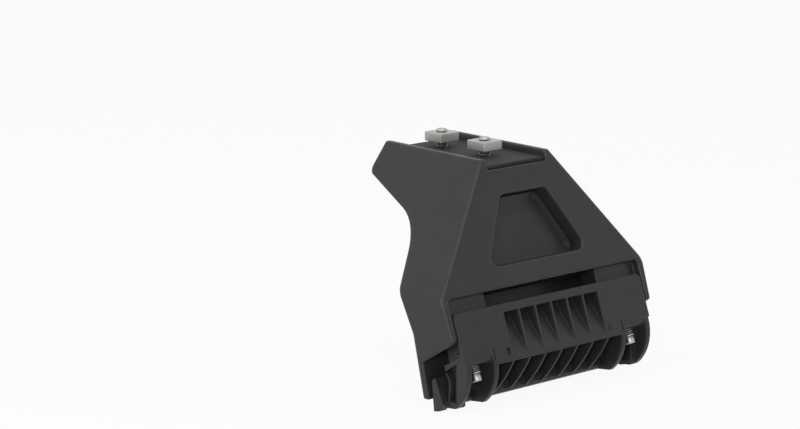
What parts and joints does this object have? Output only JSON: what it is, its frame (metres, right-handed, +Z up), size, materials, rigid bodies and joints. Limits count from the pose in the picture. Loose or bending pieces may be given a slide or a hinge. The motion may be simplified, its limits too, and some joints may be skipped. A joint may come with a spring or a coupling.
{
  "type": "roof bar foot",
  "caption": "Moulded roof bar foot for a rain gutter: a flared leg with a bar saddle on an inboard arm, a foot blade and a ribbed jaw that bolts draw up to clamp the gutter.",
  "frame": {"origin": "middle of the foot blade's front at the height of the grip on the gutter's lip", "axes": "+X along the gutter, -Y outboard towards the jaw, +Y inboard along the bar, +Z up"},
  "size_m": [0.1444, 0.1097, 0.1266],
  "materials": {
    "leg_plastic": "satin charcoal, finely textured",
    "jaw_plastic": "satin charcoal, finely textured",
    "badge_plastic": "satin charcoal, blank",
    "pad_rubber": "matt black",
    "zinc_steel": "bright zinc plate"
  },
  "bodies": {
    "leg": {"leg_body": "leg_plastic", "badge_panel": "badge_plastic", "saddle_pad": "pad_rubber", "clamp_washer_left": "zinc_steel", "clamp_spring_left": "zinc_steel", "clamp_washer_right": "zinc_steel", "clamp_spring_right": "zinc_steel", "bar_washer_front": "zinc_steel", "bar_spring_front": "zinc_steel", "bar_washer_rear": "zinc_steel", "bar_spring_rear": "zinc_steel"},
    "jaw": {"clamp_jaw": "jaw_plastic", "clamp_nut_left": "zinc_steel", "clamp_nut_right": "zinc_steel"},
    "bolt_left": {"clamp_bolt_left": "zinc_steel"},
    "bolt_right": {"clamp_bolt_right": "zinc_steel"},
    "screw_front": {"bar_screw_front": "zinc_steel"},
    "screw_rear": {"bar_screw_rear": "zinc_steel"},
    "nut_front": {"channel_nut_front": "zinc_steel"},
    "nut_rear": {"channel_nut_rear": "zinc_steel"}
  },
  "joints": [
    {"name": "jaw_slide", "type": "slide", "parent": "leg", "child": "jaw", "axis": [0, 0.4131, 0.9107], "range_m": [-0.002, 0.004]},
    {"name": "bolt_left_turn", "type": "hinge", "parent": "leg", "child": "bolt_left", "pos_m": [-0.0553, -0.00041, 0.05224], "axis": [0, -0.4131, -0.9107], "range_deg": [-721, 1441]},
    {"name": "bolt_right_turn", "type": "hinge", "parent": "leg", "child": "bolt_right", "pos_m": [0.0553, -0.00041, 0.05224], "axis": [0, -0.4131, -0.9107], "range_deg": [-721, 1441]},
    {"name": "nut_front_slide", "type": "slide", "parent": "leg", "child": "nut_front", "axis": [0, 0, -1], "range_m": [-0.001, 0.002]},
    {"name": "screw_front_turn", "type": "hinge", "parent": "leg", "child": "screw_front", "pos_m": [0, 0.035, 0.1], "axis": [0, 0, 1], "range_deg": [-361, 721]},
    {"name": "nut_rear_slide", "type": "slide", "parent": "leg", "child": "nut_rear", "axis": [0, 0, -1], "range_m": [-0.001, 0.002]},
    {"name": "screw_rear_turn", "type": "hinge", "parent": "leg", "child": "screw_rear", "pos_m": [0, 0.068, 0.1], "axis": [0, 0, 1], "range_deg": [-361, 721]}
  ],
  "couplings": [
    {"joint": "bolt_left_turn", "follows": "jaw_slide", "rad_per_m": 6283.2},
    {"joint": "bolt_right_turn", "follows": "jaw_slide", "rad_per_m": 6283.2},
    {"joint": "screw_front_turn", "follows": "nut_front_slide", "rad_per_m": 6283.2},
    {"joint": "screw_rear_turn", "follows": "nut_rear_slide", "rad_per_m": 6283.2}
  ]
}
